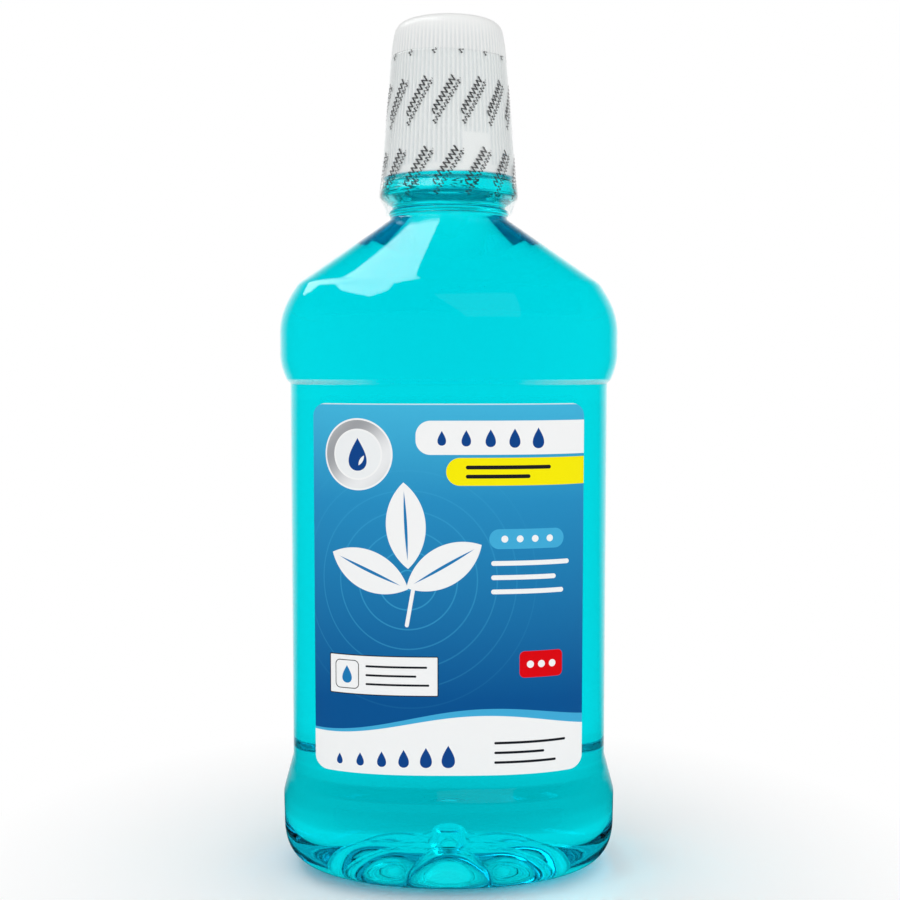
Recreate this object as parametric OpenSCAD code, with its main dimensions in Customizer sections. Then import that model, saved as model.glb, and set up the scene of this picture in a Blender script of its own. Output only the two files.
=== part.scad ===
// Mouthwash bottle: a clear oval bottle with a waisted label panel, a push-up base and a
// hollow neck bead, the rinse inside it, two labels, a squeeze and turn dosing cap with its
// seal, and the clear shrink band round cap and neck.
// Millimetres, +Z up, origin at the middle of the base, front label towards -Y.

/* [Body] */
// Width across the two bulges
body_w = 82.2; // [76:0.2:90]
// Depth from front to back across the two bulges
body_d = 57; // [52:0.5:62]
// Squareness of the body's section, where 0 is an ellipse and 1 a box
body_square_share = 0.23; // [0.1:0.01:0.38]
// Squareness of the foot's section
foot_square_share = 0.01; // [0:0.01:0.3]
// Wall thickness of the blown bottle
wall = 0.8; // [0.5:0.05:1.1]
// Height of the lower bulge
foot_h = 19.6; // [16:0.1:26]
// Height of the taper between the lower bulge and the label panel
taper_h = 9.1; // [6:0.1:14]
// Height of the label panel
panel_h = 91.5; // [84:0.1:110]
// Height of the step between the label panel and the upper bulge
lip_h = 4.8; // [3:0.1:8]
// Height of the upper bulge's upright stretch
bulge_h = 12.1; // [9:0.1:18]
// Height of the round from the upper bulge to the crease below the shoulder
round_h = 7.1; // [5:0.1:10]
// Height of the shoulder from its crease to the neck
shoulder_h = 15.8; // [12:0.1:22]
// How far the label panel lies inside the bulges
panel_in = 2.4; // [1.5:0.05:3.5]
// How far the crease lies inside the bulges
crease_in = 4.4; // [3:0.1:6]

/* [Base] */
// Radius of the body's lower corner
foot_round = 11.5; // [8:0.25:13]
// Width of the flat ring that the bottle stands on
foot_land = 2.4; // [1.5:0.1:4]
// Height of the push-up dome
dome_h = 8; // [5:0.25:10]
// Height of the round boss in the middle of the dome
boss_h = 2.4; // [1:0.1:4]
// Radius of that boss
boss_r = 3.6; // [2.5:0.1:5]
// Number of petals pressed into the dome
petals = 8; // [4:1:8]
// Height of a petal from its edge to its middle
petal_h = 1.6; // [0.4:0.1:2]

/* [Neck] */
// Radius of the neck at the top of the shoulder
neck_r = 14.2; // [13:0.1:14.4]
// Height of the plain neck below its ring
stub_h = 0.7; // [0.5:0.1:2]
// Radius of the ring round the foot of the neck
ring_r = 14.6; // [14.5:0.05:15.2]
// Height of that ring
ring_h = 1.2; // [1:0.1:2.5]
// Radius of the waist between the ring and the bead
waist_r = 13.8; // [13.2:0.1:14]
// Height of the waist
waist_h = 1.2; // [0.8:0.1:2.5]
// Radius of the hollow bead below the cap
bead_r = 16.8; // [16.4:0.05:17.4]
// Height of the bead with its flanks
bead_h = 6.1; // [5:0.1:8]
// Outer radius of the pouring finish inside the cap
finish_r = 10.9; // [10.4:0.1:11.2]
// Radius of the pouring bore
bore_r = 9.5; // [8.5:0.1:9.8]
// Height of the finish above the bead
finish_h = 15.2; // [14:0.1:18]
// How far the rinse stands up in the finish
fill_h = 2.8; // [1:0.1:6]

/* [Thread] */
// Rise of the thread in one full turn
lead = 6.4; // [5.6:0.1:7.2]
// Height of the thread's crest above the finish
thread_h = 1; // [0.7:0.05:1.1]
// Width of the thread at its root
thread_root = 1.5; // [1.1:0.05:1.6]
// Width of the thread at its crest
thread_crest = 0.8; // [0.5:0.05:1]
// Running clearance between the two threads
thread_gap = 0.3; // [0.2:0.05:0.4]
// Number of thread starts
starts = 2; // [1:1:2]
// Turns in each start
turns = 1; // [0.75:0.05:1.1]

/* [Cap] */
// Outer radius of the cap at its rim
cap_r = 16.05; // [15.6:0.05:16.4]
// Outer radius of the cap where its side meets its top
cap_top_r = 13; // [12.6:0.05:14]
// Height of the cap
cap_h = 37.2; // [34:0.2:42]
// Radius of the cap's top edge
cap_round = 3.4; // [2:0.1:4.5]
// Wall thickness of the cap
cap_wall = 1.1; // [0.8:0.05:1.3]
// Wall thickness of the threaded sleeve inside the cap
sleeve_wall = 0.9; // [0.7:0.05:1]
// Gap between the cap's rim and the bead
rim_gap = 0.6; // [0.4:0.05:1.2]
// Number of grip ribs round the cap
rib_count = 84; // [60:1:96]
// Height of a grip rib above the wall
rib_h = 0.25; // [0.15:0.01:0.35]
// Width of a grip rib
rib_w = 0.55; // [0.35:0.01:0.65]
// Height of the smooth band at the rim
rim_band = 2.2; // [1.5:0.1:4]
// Height of the two smooth squeeze pads
pad_h = 9.5; // [7:0.5:20]
// Width of a squeeze pad
pad_w = 8; // [6:0.5:14]
// Direction of the first squeeze pad, in degrees from +X
pad_turn = -65; // [-180:5:180]
// Height of the safety lugs
lug_h = 2.4; // [1.8:0.1:2.8]
// Length of a safety lug round the neck
lug_w = 4; // [2:0.1:6]
// Running clearance between the lugs of cap and neck
lug_gap = 0.4; // [0.3:0.05:0.5]
// Radius over the lugs of the neck
lug_r = 13.3; // [12.9:0.05:13.4]

/* [Seal] */
// Thickness of the foam seal
seal_t = 1.2; // [0.8:0.05:2]
// How far the seal reaches past each edge of the finish
seal_lap = 0.3; // [0.2:0.05:0.5]

/* [Neckband] */
// Thickness of the shrink film
film_t = 0.2; // [0.12:0.01:0.3]
// Gap between the film and what it wraps
film_gap = 0.2; // [0.15:0.01:0.3]
// How far the film reaches below the bead's widest line
film_low = 5.4; // [4:0.1:6]
// How far the film reaches above the cap's rim
film_high = 28.9; // [24:0.1:32]

/* [Labels] */
// Distance from a label's side edge to the panel's widest line, measured straight across
label_side = 7.1; // [4.5:0.05:14]
// Distance from a label's lower edge to the taper
label_up = 0.7; // [0.6:0.1:3]
// Distance from a label's upper edge to the step above the panel
label_down = 4.4; // [1:0.1:20]
// Corner radius of a label
label_round = 3; // [1:0.25:6]
// Thickness of a label
label_t = 0.2; // [0.1:0.01:0.3]

/* [Quality] */
// Sides of the body's section
body_sides = 48; // [36:12:60]
// Steps in one turn of thread
thread_steps = 24; // [18:6:36]

/* [Hidden] */
$fn = 96;

// Fits and small overlaps
liquid_gap = 0.15;
label_gap = 0.05;
weld = 0.35;

// Softness of the body's and the neck's corners, as reaches along their sides
foot_soft = 2.5;
panel_soft = 0.8;
lip_soft = 1.3;
bulge_soft = 2.6;
crease_soft = 0.9;
neck_soft = 0.6;
bead_soft = 1.1;

// Body levels, from the base up
half_w = body_w / 2;
half_d = body_d / 2;
panel_z = foot_h + taper_h;
lip_z = panel_z + panel_h;
bulge_z = lip_z + lip_h;
round_z = bulge_z + bulge_h;
crease_z = round_z + round_h;
neck_z = crease_z + shoulder_h;

// Labels
label_w = 2 * (half_w - panel_in - label_side);
label_h = panel_h - label_up - label_down;

// Neck levels
ring_z = neck_z + stub_h;
waist_z = ring_z + ring_h;
bead_z = waist_z + waist_h;
bead_mid_z = bead_z + bead_h * 0.42;
bead_top_z = bead_z + bead_h;
finish_z = bead_top_z + rim_gap * 3;
finish_top_z = bead_top_z + finish_h;
bead_top_r = waist_r + (bead_r - waist_r) * 0.62;
slope_r = (bead_top_r + finish_r) / 2;

// Thread and lugs
thread_low_z = finish_top_z - lead * turns - thread_root * 1.8;
sleeve_r = finish_r + thread_h + thread_gap;
sleeve_z = thread_low_z - thread_root * 1.4;
lug_turn = pad_turn + 90;
lug_deg = lug_w / lug_r * 180 / PI;

// Cap levels
rim_z = bead_top_z + rim_gap;
cap_top_z = rim_z + cap_h;
shelf_z = finish_top_z + seal_t;
shelf_r = bore_r + seal_lap * 3;
rib_top_z = cap_top_z - cap_round;
pad_deg = pad_w / cap_r * 180 / PI;
rib_deg = rib_w / cap_r * 180 / PI;
function cap_side(z) = cap_r + (cap_top_r - cap_r) * (z - rim_z) / cap_h;

// Soft corners: each corner of a path becomes a parabola that starts and ends its reach away.
// The reach is measured along the largest step and shared with the neighbouring corner.
function span(v) = max([for (c = v) abs(c)]);
function reach(path, soft, i, j) =
    min(soft[i], 0.95 * span(path[j] - path[i]) * soft[i] / (soft[i] + soft[j]));
function corner(a, p, b, steps) =
    [for (k = [0 : steps]) let (u = k / steps) (1 - u) * (1 - u) * a + 2 * u * (1 - u) * p + u * u * b];
function soft_path(path, soft, steps) = [
    for (i = [0 : len(path) - 1])
        let (last = len(path) - 1)
        if (i == 0 || i == last || soft[i] == 0) path[i]
        else
            let (
                r = min(reach(path, soft, i, i - 1), reach(path, soft, i, i + 1)),
                back = path[i - 1] - path[i],
                on = path[i + 1] - path[i]
            )
            each corner(path[i] + back * r / span(back), path[i], path[i] + on * r / span(on), steps[i])
];

// Stations of the body's skin: height, half width, half depth, share of squareness and petal height
function inset(z, depth, square_share) = [z, half_w - depth, half_d - depth, square_share, 0];
function round_station(z, r) = [z, r, r, 0, 0];
foot_in = foot_round + foot_land;
boss_shares = [[0.5, 1], [0.8, 1], [1, 0.8], [1.1, 0.3], [1.3, 0]];
dome_shares = [0.2, 0.4, 0.6, 0.78, 0.92];
boss_stations = [for (b = boss_shares) round_station(dome_h + boss_h * b[1], boss_r * b[0])];
dome_stations = [
    for (s = dome_shares)
        let (from = round_station(0, boss_r), to = inset(0, foot_in, foot_square_share))
        from * (1 - s) + to * s
            + [dome_h * (1 - pow(s, 3)), 0, 0, 0, petal_h * pow(sin(180 * pow(s, 1.5)), 2)]
];
side_path = [
    inset(0, foot_in, foot_square_share),
    inset(0, 0, foot_square_share),
    inset(foot_h, 0, body_square_share),
    inset(panel_z, panel_in, body_square_share),
    inset(lip_z, panel_in, body_square_share),
    inset(bulge_z, 0, body_square_share),
    inset(round_z, 0, body_square_share),
    inset(crease_z, crease_in, body_square_share),
    round_station(neck_z, neck_r)
];
side_soft = [0, foot_round, foot_soft, panel_soft, lip_soft, bulge_soft, round_h * 0.67, crease_soft, neck_soft, 0];
side_steps = [0, 6, 3, 2, 2, 3, 6, 2, 2, 0];
function skin_stations(stub) = concat(
    boss_stations,
    dome_stations,
    soft_path(concat(side_path, [round_station(neck_z + stub, neck_r)]), side_soft, side_steps)
);

// A station's outline, and the same outline moved inwards along the skin's own normal
function bow(c, square_share) = sign(c) * pow(abs(c), 1 - square_share);
function skin_point(s, t) = [
    s[1] * bow(cos(t), s[3]),
    s[2] * bow(sin(t), s[3]),
    s[0] + s[4] * (pow(abs(cos(petals / 2 * (t + 90))), 0.8) - 0.5)
];
function skin_grid(stations) = [
    for (s = stations) [for (k = [0 : body_sides - 1]) skin_point(s, 360 * k / body_sides)]
];
function skin_normal(grid, i, k) =
    let (
        up = grid[min(i + 1, len(grid) - 1)][k] - grid[max(i - 1, 0)][k],
        round = grid[i][(k + 1) % body_sides] - grid[i][(k + body_sides - 1) % body_sides],
        n = cross(round, up)
    )
    n / norm(n);
function inner_grid(grid, depth) = [
    for (i = [0 : len(grid) - 1])
        [for (k = [0 : body_sides - 1]) grid[i][k] - depth * skin_normal(grid, i, k)]
];
function flat_list(grid) = [for (row = grid) each row];

// Faces between two rings of points that start at a and b in the point list
function band_faces(a, b) = [
    for (k = [0 : body_sides - 1])
        let (m = (k + 1) % body_sides)
        each [[a + k, b + k, b + m], [a + k, b + m, a + m]]
];
function side_faces(rows, start) = [
    for (i = [0 : rows - 2]) each band_faces(start + i * body_sides, start + (i + 1) * body_sides)
];
function turned(faces) = [for (f = faces) [f[2], f[1], f[0]]];
function ring_face(start) = [for (k = [0 : body_sides - 1]) start + k];
function backwards(face) = [for (i = [len(face) - 1 : -1 : 0]) face[i]];

// The blown wall below the neck ring: outer skin, inner skin and the rim that joins them
module blown_wall() {
    outer = skin_grid(skin_stations(stub_h + ring_h / 2));
    inner = inner_grid(outer, wall);
    rows = len(outer);
    under = rows * body_sides;
    polyhedron(
        concat(flat_list(outer), flat_list(inner)),
        concat(
            side_faces(rows, 0),
            turned(side_faces(rows, under)),
            band_faces(under - body_sides, 2 * under - body_sides),
            [ring_face(0), backwards(ring_face(under))]
        ),
        convexity = 10
    );
}

// The space inside the blown wall, up to just below the neck ring
module blown_space(gap) {
    grid = inner_grid(skin_grid(skin_stations(stub_h - gap)), wall + gap);
    rows = len(grid);
    polyhedron(
        flat_list(grid),
        concat(side_faces(rows, 0), [ring_face(0), backwards(ring_face((rows - 1) * body_sides))]),
        convexity = 10
    );
}

// Outline of the neck, outside and inside, as radius and height
neck_outer_path = [
    [ring_r, ring_z],
    [ring_r, waist_z],
    [waist_r, waist_z + waist_h * 0.3],
    [waist_r, bead_z],
    [bead_r, bead_z + bead_h * 0.25],
    [bead_r, bead_mid_z + bead_h * 0.2],
    [bead_top_r, bead_top_z],
    [slope_r, bead_top_z + rim_gap * 0.5],
    [finish_r, finish_z],
    [finish_r, finish_top_z]
];
neck_outer_soft = [0, ring_h * 0.3, 0, waist_h * 0.4, bead_soft, bead_soft, bead_soft * 0.4, 0, 0, 0];
neck_inner_path = [
    [waist_r - wall, ring_z],
    [waist_r - wall, bead_z + wall * 0.4],
    [bead_r - wall, bead_z + bead_h * 0.25 + wall * 0.5],
    [bead_r - wall, bead_mid_z + bead_h * 0.2 - wall * 0.4],
    [bead_top_r - wall, bead_top_z - wall],
    [bore_r, bead_top_z - wall * 0.6],
    [bore_r, finish_top_z]
];
neck_inner_soft = [0, waist_h * 0.4, bead_soft, bead_soft, bead_soft * 0.4, 0, 0];
neck_steps = [0, 3, 3, 3, 4, 4, 3, 0, 0, 0];
neck_inner = soft_path(neck_inner_path, neck_inner_soft, neck_steps);

module neck() {
    rotate_extrude()
        polygon(concat(soft_path(neck_outer_path, neck_outer_soft, neck_steps), backwards(neck_inner)));
}

// A thread with run-out ends. It stands out from r_root to r_crest, outwards or inwards.
// Its root is sunk into the wall that carries it.
module thread(r_root, r_crest) {
    steps = ceil(thread_steps * turns);
    out = sign(r_crest - r_root);
    runout = steps / 8;
    sections = [
        for (i = [0 : steps])
            let (
                a = 360 * turns * i / steps,
                z = thread_low_z + lead * turns * i / steps,
                share = max(min(i, steps - i, runout) / runout, 0.1),
                r = r_root + (r_crest - r_root) * share,
                base = r_root - out * weld
            )
            [
                [base * cos(a), base * sin(a), z - thread_root / 2],
                [r * cos(a), r * sin(a), z - thread_crest / 2],
                [r * cos(a), r * sin(a), z + thread_crest / 2],
                [base * cos(a), base * sin(a), z + thread_root / 2]
            ]
    ];
    sides = [
        for (i = [0 : steps - 1])
            for (k = [0 : 3])
                let (a = 4 * i + k, b = 4 * i + (k + 1) % 4)
                each [[a, a + 4, b + 4], [a, b + 4, b]]
    ];
    ends = [[0, 1, 2], [0, 2, 3], [4 * steps + 2, 4 * steps + 1, 4 * steps], [4 * steps + 3, 4 * steps + 2, 4 * steps]];
    faces = concat(sides, ends);
    for (s = [0 : starts - 1])
        rotate([0, 0, 360 * s / starts])
            polyhedron(flat_list(sections), out > 0 ? turned(faces) : faces, convexity = 10);
}

// A block with a rectangular section that runs a few degrees round the axis
module arc_block(r1, r2, z1, z2, turn, degrees) {
    rotate([0, 0, turn - degrees / 2])
        rotate_extrude(angle = degrees)
            polygon([[r1, z1], [r2, z1], [r2, z2], [r1, z2]]);
}

module bottle() {
    color([0.78, 0.93, 0.95], 0.45)
        union() {
            blown_wall();
            neck();
            thread(finish_r, finish_r + thread_h);
            for (side = [0, 180])
                arc_block(finish_r - weld, lug_r, bead_top_z + rim_gap * 0.2, rim_z + lug_h, lug_turn + side, lug_deg);
        }
}

module mouthwash() {
    fill_z = finish_z + fill_h;
    low_z = ring_z - weld;
    hugging = [for (p = neck_inner) if (p[1] > ring_z && p[1] < fill_z) [p[0] - liquid_gap, p[1]]];
    color([0, 0.76, 0.82])
        union() {
            blown_space(liquid_gap);
            rotate_extrude()
                polygon(concat(
                    [[0, low_z], [waist_r - wall - liquid_gap, low_z]],
                    hugging,
                    [[bore_r - liquid_gap, fill_z], [0, fill_z]]
                ));
        }
}

// A label's sheet as seen from above: a strip along the panel's curve, towards -Y
module label_strip() {
    hw = half_w - panel_in + label_gap;
    hd = half_d - panel_in + label_gap;
    reach_deg = acos(pow(label_w / 2 / hw, 1 / (1 - body_square_share)));
    rows = body_sides / 2;
    function along(i) = reach_deg + (180 - 2 * reach_deg) * i / rows - 180;
    function on_curve(grow, t) =
        [(hw + grow) * bow(cos(t), body_square_share), (hd + grow) * bow(sin(t), body_square_share)];
    polygon(concat(
        [for (i = [0 : rows]) on_curve(0, along(i))],
        [for (i = [rows : -1 : 0]) on_curve(label_t, along(i))]
    ));
}

module label_outline() {
    for (flip = [-1, 1])
        for (z = [label_round, label_h - label_round])
            translate([flip * (label_w / 2 - label_round), z])
                circle(r = label_round);
    translate([-label_w / 2, label_round])
        square([label_w, label_h - 2 * label_round]);
    translate([-label_w / 2 + label_round, 0])
        square([label_w - 2 * label_round, label_h]);
}

module label() {
    intersection() {
        translate([0, 0, panel_z])
            linear_extrude(panel_h)
                label_strip();
        translate([0, 0, panel_z + label_up])
            rotate([90, 0, 0])
                linear_extrude(body_d)
                    label_outline();
    }
}

module front_label() {
    color([0.08, 0.40, 0.68])
        label();
}

module back_label() {
    color([0.08, 0.40, 0.68])
        rotate([0, 0, 180])
            label();
}

// The cap's shell, with the shelf over the seal and the threaded sleeve that hangs from it
module cap_shell() {
    outer = soft_path(
        [[cap_r, rim_z], [cap_top_r, cap_top_z], [0, cap_top_z]],
        [0, cap_round, 0],
        [0, 6, 0]
    );
    inner = soft_path(
        [[0, cap_top_z - cap_wall], [cap_top_r - cap_wall, cap_top_z - cap_wall], [cap_r - cap_wall, rim_z]],
        [0, cap_round - cap_wall, 0],
        [0, 5, 0]
    );
    rotate_extrude()
        polygon(concat(outer, inner));
    rotate_extrude()
        polygon([
            [sleeve_r, sleeve_z],
            [sleeve_r + sleeve_wall, sleeve_z],
            [sleeve_r + sleeve_wall, shelf_z],
            [cap_side(shelf_z) - cap_wall / 2, shelf_z],
            [cap_side(shelf_z + cap_wall) - cap_wall / 2, shelf_z + cap_wall],
            [shelf_r, shelf_z + cap_wall],
            [shelf_r, shelf_z],
            [sleeve_r, shelf_z]
        ]);
}

// Grip ribs run up the side. Over a squeeze pad they start above the pad.
module grip_ribs() {
    ramp = rib_h * 3;
    for (i = [0 : rib_count - 1]) {
        turn = 360 * i / rib_count;
        from_pad = abs((turn - pad_turn + 540) % 180 - 90);
        low = rim_z + (90 - from_pad < pad_deg / 2 ? pad_h : rim_band);
        rotate([0, 0, turn - rib_deg / 2])
            rotate_extrude(angle = rib_deg)
                polygon([
                    [cap_side(low) - cap_wall / 2, low],
                    [cap_side(low + ramp) + rib_h, low + ramp],
                    [cap_side(rib_top_z - 2 * ramp) + rib_h, rib_top_z - 2 * ramp],
                    [cap_side(rib_top_z) - cap_wall / 2, rib_top_z]
                ]);
    }
}

module cap() {
    lug_low = rim_z + lug_gap * 1.5;
    color([0.94, 0.95, 0.96])
        union() {
            cap_shell();
            grip_ribs();
            rotate([0, 0, 90])
                thread(sleeve_r, sleeve_r - thread_h);
            for (side = [0, 180])
                arc_block(
                    lug_r + lug_gap, cap_side(rim_z + lug_h) - cap_wall / 2,
                    lug_low, rim_z + lug_h, lug_turn + 2 * lug_deg + side, lug_deg
                );
        }
}

module seal_ring() {
    color([0.90, 0.91, 0.86])
        rotate_extrude()
            polygon([
                [bore_r - seal_lap, finish_top_z],
                [finish_r + seal_lap * 3, finish_top_z],
                [finish_r + seal_lap * 3, shelf_z],
                [bore_r - seal_lap, shelf_z]
            ]);
}

module neckband() {
    low_z = bead_mid_z - film_low;
    high_z = rim_z + film_high;
    turn_z = bead_top_z - bead_h * 0.3;
    bead_in = bead_r + film_gap;
    rim_in = cap_side(rim_z) + rib_h + film_gap;
    high_in = cap_side(high_z) + rib_h + film_gap;
    color([0.85, 0.90, 0.92], 0.3)
        rotate_extrude()
            polygon([
                [bead_in, low_z],
                [bead_in + film_t, low_z],
                [bead_in + film_t, turn_z],
                [rim_in + film_t, rim_z],
                [high_in + film_t, high_z],
                [high_in, high_z],
                [rim_in, rim_z],
                [bead_in, turn_z]
            ]);
}

bottle();
mouthwash();
front_label();
back_label();
cap();
seal_ring();
neckband();
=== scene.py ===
import math

import bpy
import numpy as np
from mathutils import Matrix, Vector


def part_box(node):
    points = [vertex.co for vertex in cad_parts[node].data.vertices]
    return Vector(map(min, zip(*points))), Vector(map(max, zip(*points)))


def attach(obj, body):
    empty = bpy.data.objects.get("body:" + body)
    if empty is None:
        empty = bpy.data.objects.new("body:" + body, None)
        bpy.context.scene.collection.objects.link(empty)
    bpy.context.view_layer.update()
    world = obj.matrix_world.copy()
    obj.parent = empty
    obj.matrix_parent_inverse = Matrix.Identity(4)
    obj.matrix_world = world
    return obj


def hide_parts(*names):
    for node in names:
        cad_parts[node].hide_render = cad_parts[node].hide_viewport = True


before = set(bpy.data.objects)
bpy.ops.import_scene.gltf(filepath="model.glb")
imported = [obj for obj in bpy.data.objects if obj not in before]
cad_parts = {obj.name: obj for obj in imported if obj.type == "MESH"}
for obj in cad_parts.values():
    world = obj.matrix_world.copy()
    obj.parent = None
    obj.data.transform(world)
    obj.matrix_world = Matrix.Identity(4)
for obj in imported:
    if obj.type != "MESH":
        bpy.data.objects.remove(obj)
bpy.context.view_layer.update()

# The mouthwash bottle, dressed: clear blown bottle, teal rinse, printed labels, ribbed dosing
# cap, foam seal and clear printed neckband, in a plain white studio.
# Sizes are in millimetres; MM makes metres of them where a mesh or a lamp is made.
MM = 0.001


def cad(name, corner, axis):
    """One coordinate of a CAD node's box at rest, in millimetres."""
    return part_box(name)[corner][axis] / MM


LOW, HIGH = 0, 1
X, Y, Z = 0, 1, 2

# Body: half its widest sizes, shares of squareness, wall
HALF_W = cad("bottle", HIGH, X)
HALF_D = cad("bottle", HIGH, Y)
BODY_SQUARE_SHARE, FOOT_SQUARE_SHARE = 0.23, 0.01
WALL = 0.8
# Heights of its bands from the foot up, and how far they lie in from the widest
FOOT_H, TAPER_H, PANEL_H, LIP_H = 19.6, 9.1, 91.5, 4.8
BULGE_H, ROUND_H, SHOULDER_H = 12.1, 7.1, 15.8
PANEL_IN, CREASE_IN, CREASE_IN_FRONT = 2.4, 4.4, 4.0
PANEL_Z = FOOT_H + TAPER_H
LIP_Z = PANEL_Z + PANEL_H
BULGE_Z = LIP_Z + LIP_H
ROUND_Z = BULGE_Z + BULGE_H
CREASE_Z = ROUND_Z + ROUND_H
NECK_Z = CREASE_Z + SHOULDER_H
# Ledge at the panel's top, with its painted glint towards the sides, and ledge at front and back of
# its foot
LEDGE, LEDGE_GLINT, GLINT_FROM, GLINT_OVER = 0.9, 0.25, 16, 16
FOOT_LEDGE, FOOT_LEDGE_H, FOOT_LEDGE_DROP = 2.2, 2.7, 2.5
# Base: standing ring, push-up dome with petals, and a boss given in shares of its radius and rise
FOOT_ROUND, FOOT_LAND = 11.5, 0.6
DOME_H, DOME_CURVE, DOME_FROM, DOME_TO, DOME_ROWS = 6.3, 5, 0.12, 0.985, 26
PETALS, PETAL_H, PETAL_BLUNT, PETAL_SPREAD = 8, 2.0, 0.8, 1.5
BOSS_H, BOSS_R = 4.1, 4.2
BOSS_SHARES = (
    (0.2, 1), (0.5, 1), (0.65, 0.97), (0.76, 0.88), (0.84, 0.6), (0.94, 0.3), (1.08, 0.1), (1.3, 0),
)

# Neck and finish
NECK_R, STUB_H, RING_R, RING_H = 14.2, 0.7, 14.6, 1.2
WAIST_R, WAIST_H, BEAD_R, BEAD_H, BEAD_SOFT = 13.8, 1.2, 16.8, 6.1, 1.7
FINISH_R, BORE_R, RIM_GAP = 10.9, 9.5, 0.6
FINISH_TOP_Z = cad("bottle", HIGH, Z)
RING_Z = NECK_Z + STUB_H
SKIN_TOP_Z = RING_Z - 0.05
WAIST_Z = RING_Z + RING_H
BEAD_Z = WAIST_Z + WAIST_H
BEAD_LOW_Z, BEAD_HIGH_Z = BEAD_Z + BEAD_H * 0.34, BEAD_Z + BEAD_H * 0.54
BEAD_TOP_Z = BEAD_Z + BEAD_H
BEAD_TOP_R = WAIST_R + (BEAD_R - WAIST_R) * 0.62
FINISH_Z = BEAD_TOP_Z + RIM_GAP * 3
FILL_Z = cad("mouthwash", HIGH, Z)
WETTING = 0.03

# Thread and safety lugs; TURNS counts whole turns, the other angles are in degrees
LEAD, STARTS, TURNS, RUN_OUT = 6.4, 2, 1.0, 40
THREAD_H, THREAD_ROOT, THREAD_CREST, THREAD_GAP = 1.0, 1.5, 0.8, 0.3
THREAD_LOW_Z = FINISH_TOP_Z - LEAD * TURNS - THREAD_ROOT * 1.8
CAP_THREAD_TURN = 90
PAD_TURN = -65.0
LUG_R, LUG_H, LUG_W = 13.3, 2.4, 4.0
LUG_TURN = PAD_TURN + 90
LUG_DEG = math.degrees(LUG_W / LUG_R)
SIDE_FADE = 1.5

# Cap and seal
RIM_Z = cad("cap", LOW, Z)
CAP_TOP_Z = cad("cap", HIGH, Z)
CAP_R, CAP_TOP_R, CAP_ROUND, CAP_WALL = 16.05, 13.0, 3.4, 1.1
SLEEVE_R, SLEEVE_WALL = FINISH_R + THREAD_H + THREAD_GAP, 0.9
SLEEVE_Z = THREAD_LOW_Z - THREAD_ROOT * 1.4
SHELF_Z = cad("seal_ring", HIGH, Z)
SHELF_R = BORE_R + 0.9
SEAL_R, SEAL_SOFT = BORE_R - 0.3, 0.15
RIBS, RIB_H, RIB_FADE, RIM_BAND = 84, 0.25, 4.5, 2.2
PAD_H, PAD_W = 9.5, 8.0
PAD_HALF_DEG = math.degrees(PAD_W / CAP_R) / 2
MIDDLE_R = 0.5

# Labels
LABEL_LOW_Z = cad("front_label", LOW, Z)
LABEL_H = cad("front_label", HIGH, Z) - LABEL_LOW_Z
LABEL_W = 2 * cad("front_label", HIGH, X)
LABEL_ROUND, LABEL_GAP, LABEL_T = 3.0, 0.05, 0.12
CORNER_ROWS, MIDDLE_ROWS, LABEL_COLUMNS = 13, 40, 97
PRINT_MAP, PRINT_SHIFT = "print_mm", 20 * LABEL_H

# Neckband: its ripples and swells go by their share or lean with height, number round it and shift
FILM_LOW_Z = cad("neckband", LOW, Z)
FILM_HIGH_Z = cad("neckband", HIGH, Z)
FILM_GAP, FILM_T = 0.08, 0.06
RIPPLE_H, RIPPLES = 0.35, ((0.5, 9, 0.7), (0.3, 17, 2.1), (0.2, 31, 4.0))
SWELL_H, SWELLS = 0.035, ((0.11, 5, 0), (-0.07, 8, 1.3))
EDGE_WAVE, EDGE_REACH, FOOT_REACH = 0.3, 6, 4

# Meshes: points round a turned row, longest stretch between rows, and how much of a short
# stretch its two corners may take
AROUND, CAP_AROUND, FILM_AROUND = 240, RIBS * 6, RIBS * 4
BODY_STEP, NECK_STEP, INNER_STEP, CAP_STEP, FILM_STEP = 2.5, 0.35, 1.5, 0.8, 0.5
CORNER_SHARE = 0.95


def span(step):
    return np.max(np.abs(step))


def soft_path(corners, steps):
    """A path through pairs of point and reach: each corner is a parabola that starts and ends its
    reach away, or nearer where two corners share a short stretch."""
    path = [np.array(point, dtype=float) for point, _ in corners]
    soft = [reach for _, reach in corners]
    out = []
    for i, point in enumerate(path):
        if i in (0, len(path) - 1) or soft[i] == 0:
            out.append(point)
            continue
        back, on = path[i - 1] - point, path[i + 1] - point
        reach = min(
            soft[i],
            CORNER_SHARE * span(back) * soft[i] / (soft[i] + soft[i - 1]),
            CORNER_SHARE * span(on) * soft[i] / (soft[i] + soft[i + 1]),
        )
        start, end = point + back * reach / span(back), point + on * reach / span(on)
        for u in np.linspace(0, 1, steps + 1):
            out.append((1 - u) ** 2 * start + 2 * u * (1 - u) * point + u * u * end)
    return np.array(out)


def fill_in(rows, spacing):
    """Adds rows between two that lie further apart than spacing."""
    out = [rows[0]]
    for a, b in zip(rows[:-1], rows[1:]):
        count = max(1, math.ceil(span((b - a)[:3]) / spacing))
        out.extend(a + (b - a) * k / count for k in range(1, count + 1))
    return np.array(out)


# Body skin: stations of height, half width, half depth, share of squareness and petal height
def inset(z, depth, square_share):
    return [z, HALF_W - depth, HALF_D - depth, square_share, 0]


def foot_ledge(drop, out):
    """A station drop below the panel: its sides lie on the even taper, its front and back stand
    out from the panel by out."""
    side_in = PANEL_IN * (1 - drop / TAPER_H)
    return [PANEL_Z - drop, HALF_W - side_in, HALF_D - PANEL_IN + out, BODY_SQUARE_SHARE, 0]


def round_station(z, r):
    return [z, r, r, 0, 0]


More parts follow.
